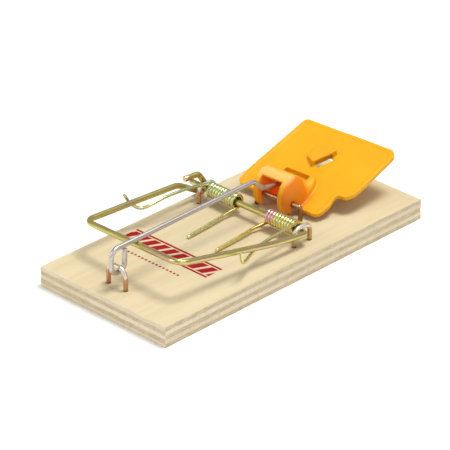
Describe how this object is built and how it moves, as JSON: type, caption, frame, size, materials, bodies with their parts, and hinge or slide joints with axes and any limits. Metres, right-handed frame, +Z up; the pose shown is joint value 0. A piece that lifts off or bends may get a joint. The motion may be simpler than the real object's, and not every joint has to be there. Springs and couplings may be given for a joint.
{
  "type": "snap mouse trap",
  "caption": "Set snap trap: plywood board, wire hammer with torsion springs, hold bar and a wide moulded trigger plate.",
  "frame": {"origin": "centre of the board's underside", "axes": "+Z up out of the board, +X along the board towards the trigger end"},
  "size_m": [0.098, 0.047, 0.0189],
  "materials": {
    "face_ply": "pale rotary-cut face ply, unfinished",
    "cross_ply": "darker cross ply, sawn edge",
    "core_ply": "pale core ply, sawn edge",
    "coppered_wire": "copper-washed steel wire, worn bright on the crowns",
    "zinc_wire": "yellow zinc plate",
    "spring_wire": "bright yellow-green zinc plate",
    "plain_wire": "plain drawn steel wire",
    "trigger_plastic": "moulded yellow-orange plastic, slightly translucent"
  },
  "bodies": {
    "base": {"bottom_face_ply": "face_ply", "lower_cross_ply": "cross_ply", "core_ply": "core_ply", "upper_cross_ply": "cross_ply", "top_face_ply": "face_ply", "near_axle_staple": "coppered_wire", "far_axle_staple": "coppered_wire", "hold_bar_staple": "coppered_wire", "trigger_staple": "coppered_wire", "near_spring": "spring_wire", "far_spring": "spring_wire"},
    "hammer": {"hammer": "zinc_wire"},
    "hold_bar": {"hold_bar": "plain_wire"},
    "trigger": {"trigger": "trigger_plastic"}
  },
  "joints": [
    {"name": "hammer_swing", "type": "hinge", "parent": "base", "child": "hammer", "pos_m": [0.008, 0, 0.00945], "axis": [0, 1, 0], "range_deg": [0, 168], "deforming": ["near_spring", "far_spring"]},
    {"name": "hold_bar_swing", "type": "hinge", "parent": "base", "child": "hold_bar", "pos_m": [-0.0426, 0.0003, 0.012], "axis": [0, -1, 0], "range_deg": [0, 147]},
    {"name": "trigger_tilt", "type": "hinge", "parent": "base", "child": "trigger", "pos_m": [0.0164, 0.0015, 0.0101], "axis": [-0.0654, 0.9979, 0], "range_deg": [0, 19.8]}
  ],
  "couplings": [
    {"joint": "trigger_tilt", "follows": "hammer_swing", "ratio": 0.1178}
  ]
}
